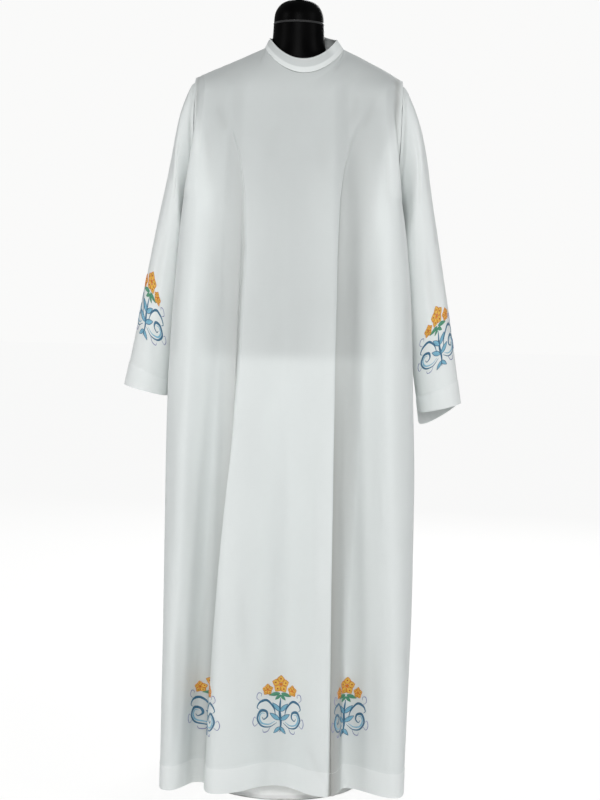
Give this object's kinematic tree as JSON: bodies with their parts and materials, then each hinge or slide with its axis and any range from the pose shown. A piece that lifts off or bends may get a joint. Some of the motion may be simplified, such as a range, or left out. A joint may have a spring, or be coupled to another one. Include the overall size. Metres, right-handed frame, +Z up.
{
  "type": "alb robe on a limbless dress form",
  "caption": "Long white alb with stand-up collar and straight sleeves, hanging in folds on a limbless dress form with pole and round base.",
  "frame": {"origin": "centre of the stand base's underside", "axes": "+Z up along the pole, -Y towards the robe's front, +X towards the wearer's left"},
  "size_m": [0.6811, 0.4775, 1.6185],
  "materials": {
    "white_cloth": "plain-woven polyester, matt",
    "black_form": "smooth black, low sheen",
    "black_metal": "black paint, semi-gloss",
    "white_metal": "white powder paint, satin"
  },
  "bodies": {
    "root": {"front": "white_cloth", "back": "white_cloth", "sleeve_left": "white_cloth", "sleeve_right": "white_cloth", "collar": "white_cloth", "collar_button": "white_cloth", "torso": "black_form", "neck_cap": "black_form", "finial": "black_form", "neck_ring": "black_metal", "socket": "black_metal", "pole": "black_metal", "hub": "white_metal", "base": "white_metal"}
  },
  "joints": []
}
